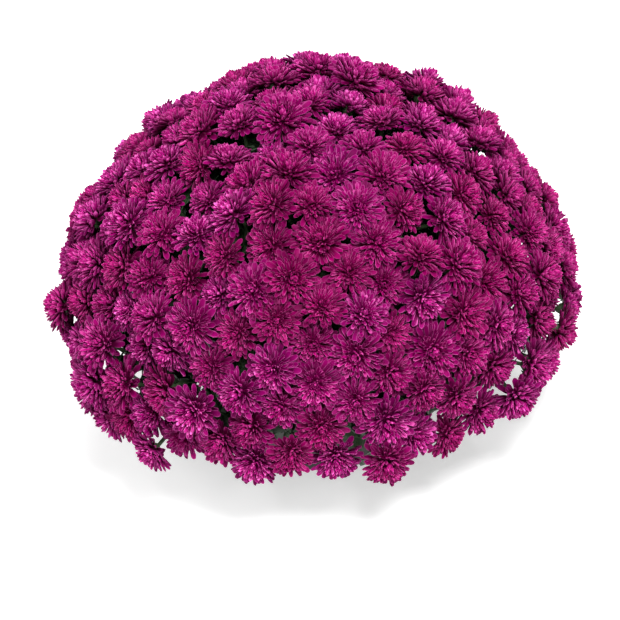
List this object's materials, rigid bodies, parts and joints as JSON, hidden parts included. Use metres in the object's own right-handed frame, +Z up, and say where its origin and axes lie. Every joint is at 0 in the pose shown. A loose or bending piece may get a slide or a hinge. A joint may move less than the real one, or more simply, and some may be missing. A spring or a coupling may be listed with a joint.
{
  "type": "pot chrysanthemum",
  "caption": "Potted chrysanthemum: a dense dome of double magenta blooms on branching leafy stems, rooted in soil in a plain tapered pot that stands on its flat base.",
  "frame": {"origin": "centre of the pot's flat base, on the surface it stands on", "axes": "+Z straight up; the plan is five-fold about Z, and +X is the border between two cuttings' sectors"},
  "size_m": [0.442, 0.4424, 0.3232],
  "materials": {
    "pot_plastic": "matte moulded",
    "potting_mix": "crumbly, moist",
    "foliage": "soft green leaf",
    "petals": "velvety petal"
  },
  "bodies": {
    "root": {"pot": "pot_plastic", "soil": "potting_mix", "cutting_1": "foliage", "cutting_2": "foliage", "cutting_3": "foliage", "cutting_4": "foliage", "cutting_5": "foliage", "spray_01": "petals", "spray_02": "petals", "spray_03": "petals", "spray_04": "petals", "spray_05": "petals", "spray_06": "petals", "spray_07": "petals", "spray_08": "petals", "spray_09": "petals", "spray_10": "petals", "spray_11": "petals", "spray_12": "petals", "spray_13": "petals", "spray_14": "petals", "spray_15": "petals", "spray_16": "petals", "spray_17": "petals", "spray_18": "petals", "spray_19": "petals", "spray_20": "petals", "spray_21": "petals", "spray_22": "petals", "spray_23": "petals", "spray_24": "petals", "spray_25": "petals", "spray_26": "petals", "spray_27": "petals", "spray_28": "petals", "spray_29": "petals", "spray_30": "petals", "spray_31": "petals", "spray_32": "petals", "spray_33": "petals", "spray_34": "petals", "spray_35": "petals", "spray_36": "petals", "spray_37": "petals", "spray_38": "petals", "spray_39": "petals", "spray_40": "petals", "spray_41": "petals", "spray_42": "petals", "spray_43": "petals", "spray_44": "petals", "spray_45": "petals", "spray_46": "petals", "spray_47": "petals", "spray_48": "petals", "spray_49": "petals", "spray_50": "petals"}
  },
  "joints": []
}
